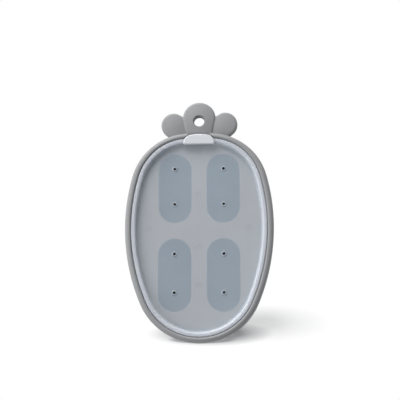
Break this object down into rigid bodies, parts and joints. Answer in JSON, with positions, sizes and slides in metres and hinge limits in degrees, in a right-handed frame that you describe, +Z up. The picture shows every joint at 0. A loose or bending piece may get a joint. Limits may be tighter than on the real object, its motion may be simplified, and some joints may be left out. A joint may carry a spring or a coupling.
{
  "type": "baby food freezer tray",
  "caption": "Oval silicone freezer tray with stadium food pods, a three-lobed leaf handle with a hanging hole, and a translucent lift-off lid with a pull tab.",
  "frame": {"origin": "middle of the bounding box in plan, at the height of the table that the tray stands on", "axes": "+Z up out of the closed lid, +Y along the tray towards the leaf handle, +X to the right across the tray"},
  "size_m": [0.1222, 0.2006, 0.0276],
  "materials": {
    "silicone": "matte grey moulded silicone with a fine spark texture",
    "frosted_lid": "frosted translucent polypropylene, satin",
    "tab_plastic": "milky white satin plastic, nearly opaque"
  },
  "bodies": {
    "tray": {"tray": "silicone"},
    "lid": {"lid": "frosted_lid", "lid_pull_tab": "tab_plastic"}
  },
  "joints": [
    {"name": "lid_lift", "type": "slide", "parent": "tray", "child": "lid", "axis": [0, 0, 1], "range_m": [0, 0.06]}
  ]
}
